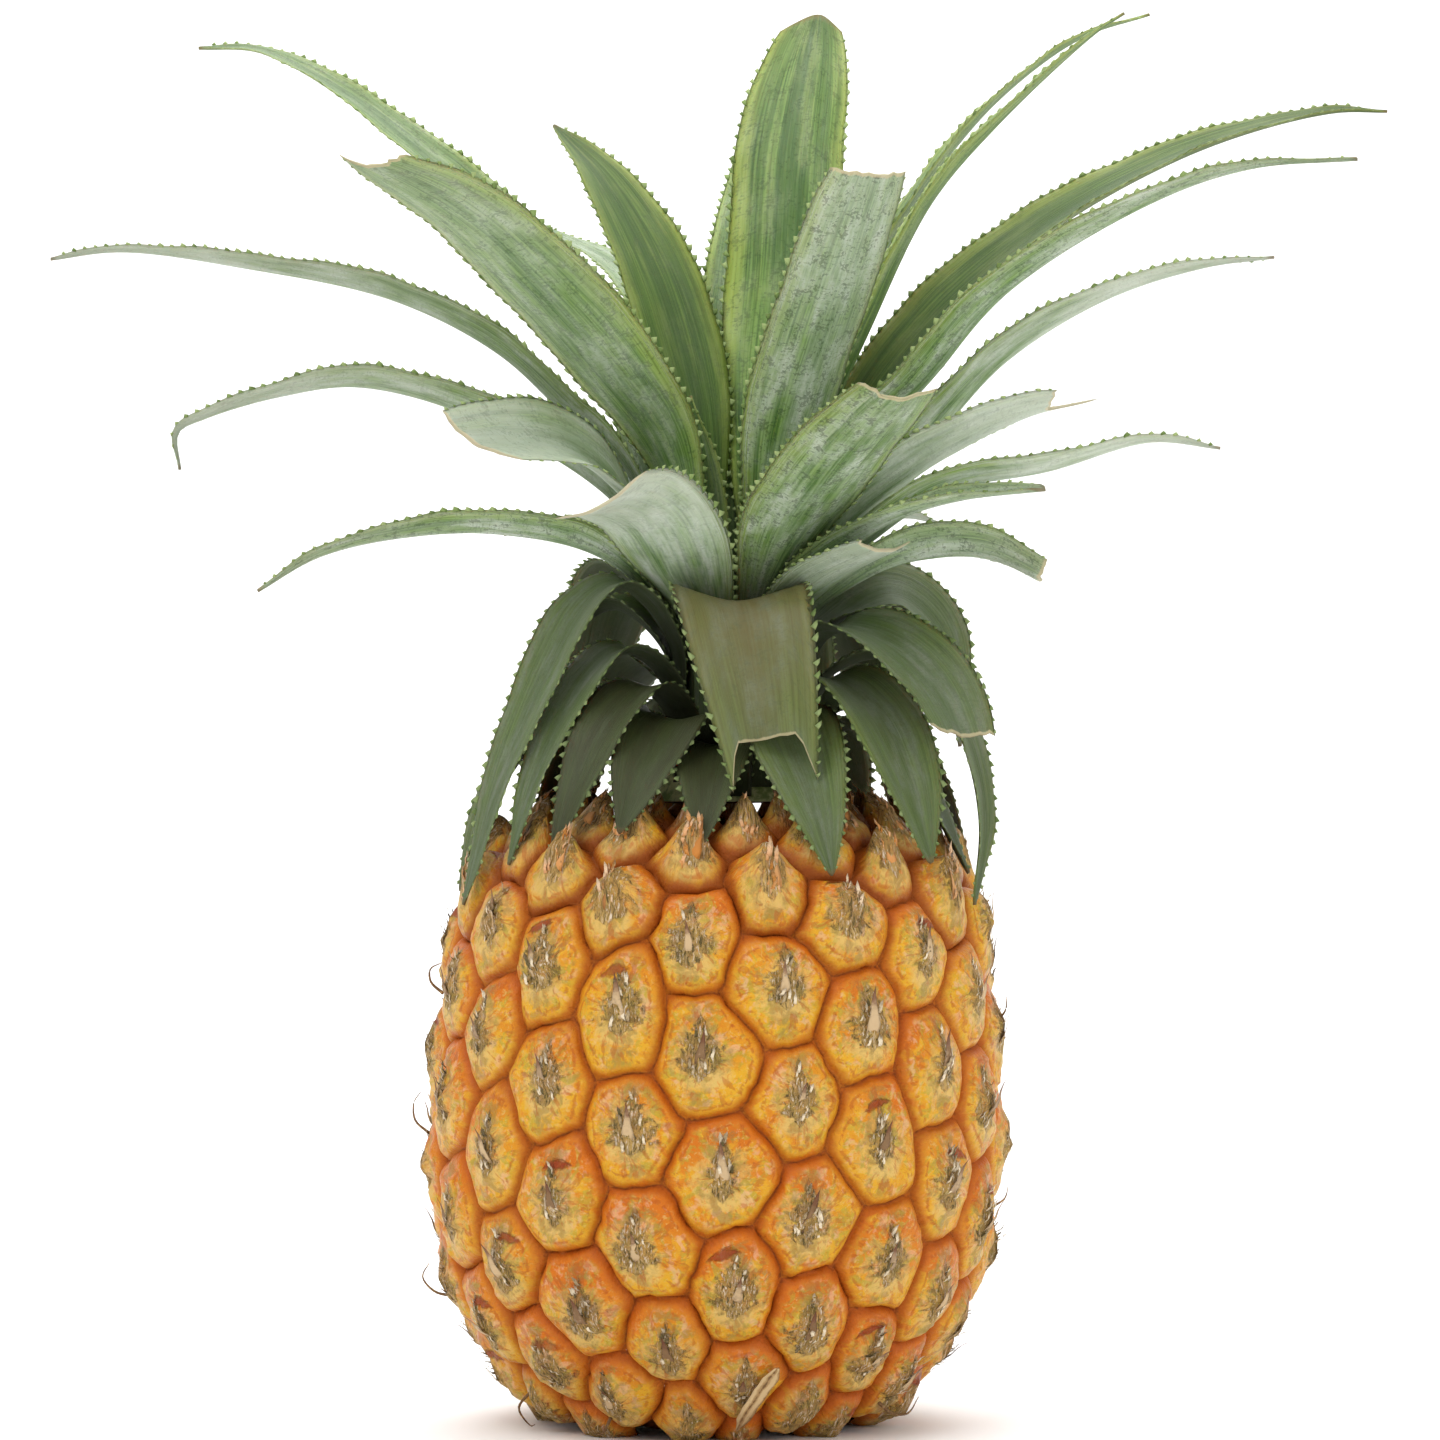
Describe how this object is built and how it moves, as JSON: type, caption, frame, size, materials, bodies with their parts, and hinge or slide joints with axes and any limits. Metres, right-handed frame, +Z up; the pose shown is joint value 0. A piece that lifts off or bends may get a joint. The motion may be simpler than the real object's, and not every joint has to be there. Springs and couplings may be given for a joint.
{
  "type": "pineapple",
  "caption": "Small ripe orange pineapple with domed six-sided eyes, a cut stalk in its flat base and a full crown of spiny, arching green leaves, standing upright.",
  "frame": {"origin": "middle of the cut stalk's flat face in the base, on the plane the pineapple stands on", "axes": "+Z up through the crown, -Y towards the front, +X to the right seen from the front"},
  "size_m": [0.2749, 0.1686, 0.2866],
  "materials": {
    "fruit_skin": "satin, slightly waxy, rust-brown in the grooves and cream on the eyes",
    "lower_leaf": "satin with a thin grey wax bloom",
    "upper_leaf": "satin with a pale wax bloom, yellow-green margins",
    "dry_stalk": "matt, dry and fibrous"
  },
  "bodies": {
    "root": {"fruit": "fruit_skin", "stalk_stub": "dry_stalk", "basal_bract": "dry_stalk", "crown_stem": "upper_leaf", "leaf_droop_01": "lower_leaf", "leaf_droop_02": "lower_leaf", "leaf_droop_03": "lower_leaf", "leaf_droop_04": "lower_leaf", "leaf_droop_05": "lower_leaf", "leaf_droop_06": "lower_leaf", "leaf_droop_07": "lower_leaf", "leaf_droop_08": "lower_leaf", "leaf_droop_09": "lower_leaf", "leaf_droop_10": "lower_leaf", "leaf_droop_11": "lower_leaf", "leaf_droop_12": "lower_leaf", "leaf_droop_13": "lower_leaf", "leaf_droop_14": "lower_leaf", "leaf_droop_15": "lower_leaf", "leaf_droop_16": "lower_leaf", "leaf_droop_17": "lower_leaf", "leaf_droop_18": "lower_leaf", "leaf_droop_19": "lower_leaf", "leaf_droop_22": "lower_leaf", "leaf_droop_20": "lower_leaf", "leaf_droop_21": "lower_leaf", "leaf_spread_01": "upper_leaf", "leaf_spread_02": "upper_leaf", "leaf_spread_03": "upper_leaf", "leaf_spread_04": "upper_leaf", "leaf_spread_05": "upper_leaf", "leaf_spread_06": "upper_leaf", "leaf_spread_08": "upper_leaf", "leaf_spread_07": "upper_leaf", "leaf_spread_09": "upper_leaf", "leaf_spread_10": "upper_leaf", "leaf_spread_11": "upper_leaf", "leaf_arch_01": "upper_leaf", "leaf_arch_02": "upper_leaf", "leaf_arch_03": "upper_leaf", "leaf_arch_04": "upper_leaf", "leaf_arch_05": "upper_leaf", "leaf_arch_08": "upper_leaf", "leaf_arch_06": "upper_leaf", "leaf_arch_07": "upper_leaf", "leaf_arch_09": "upper_leaf", "leaf_arch_10": "upper_leaf", "leaf_arch_11": "upper_leaf", "leaf_arch_12": "upper_leaf", "leaf_inner_01": "upper_leaf", "leaf_arch_13": "upper_leaf", "leaf_arch_15": "upper_leaf", "leaf_arch_14": "upper_leaf", "leaf_inner_02": "upper_leaf", "leaf_inner_03": "upper_leaf", "leaf_inner_04": "upper_leaf", "leaf_inner_05": "upper_leaf", "leaf_heart_01": "upper_leaf", "leaf_heart_02": "upper_leaf"}
  },
  "joints": []
}
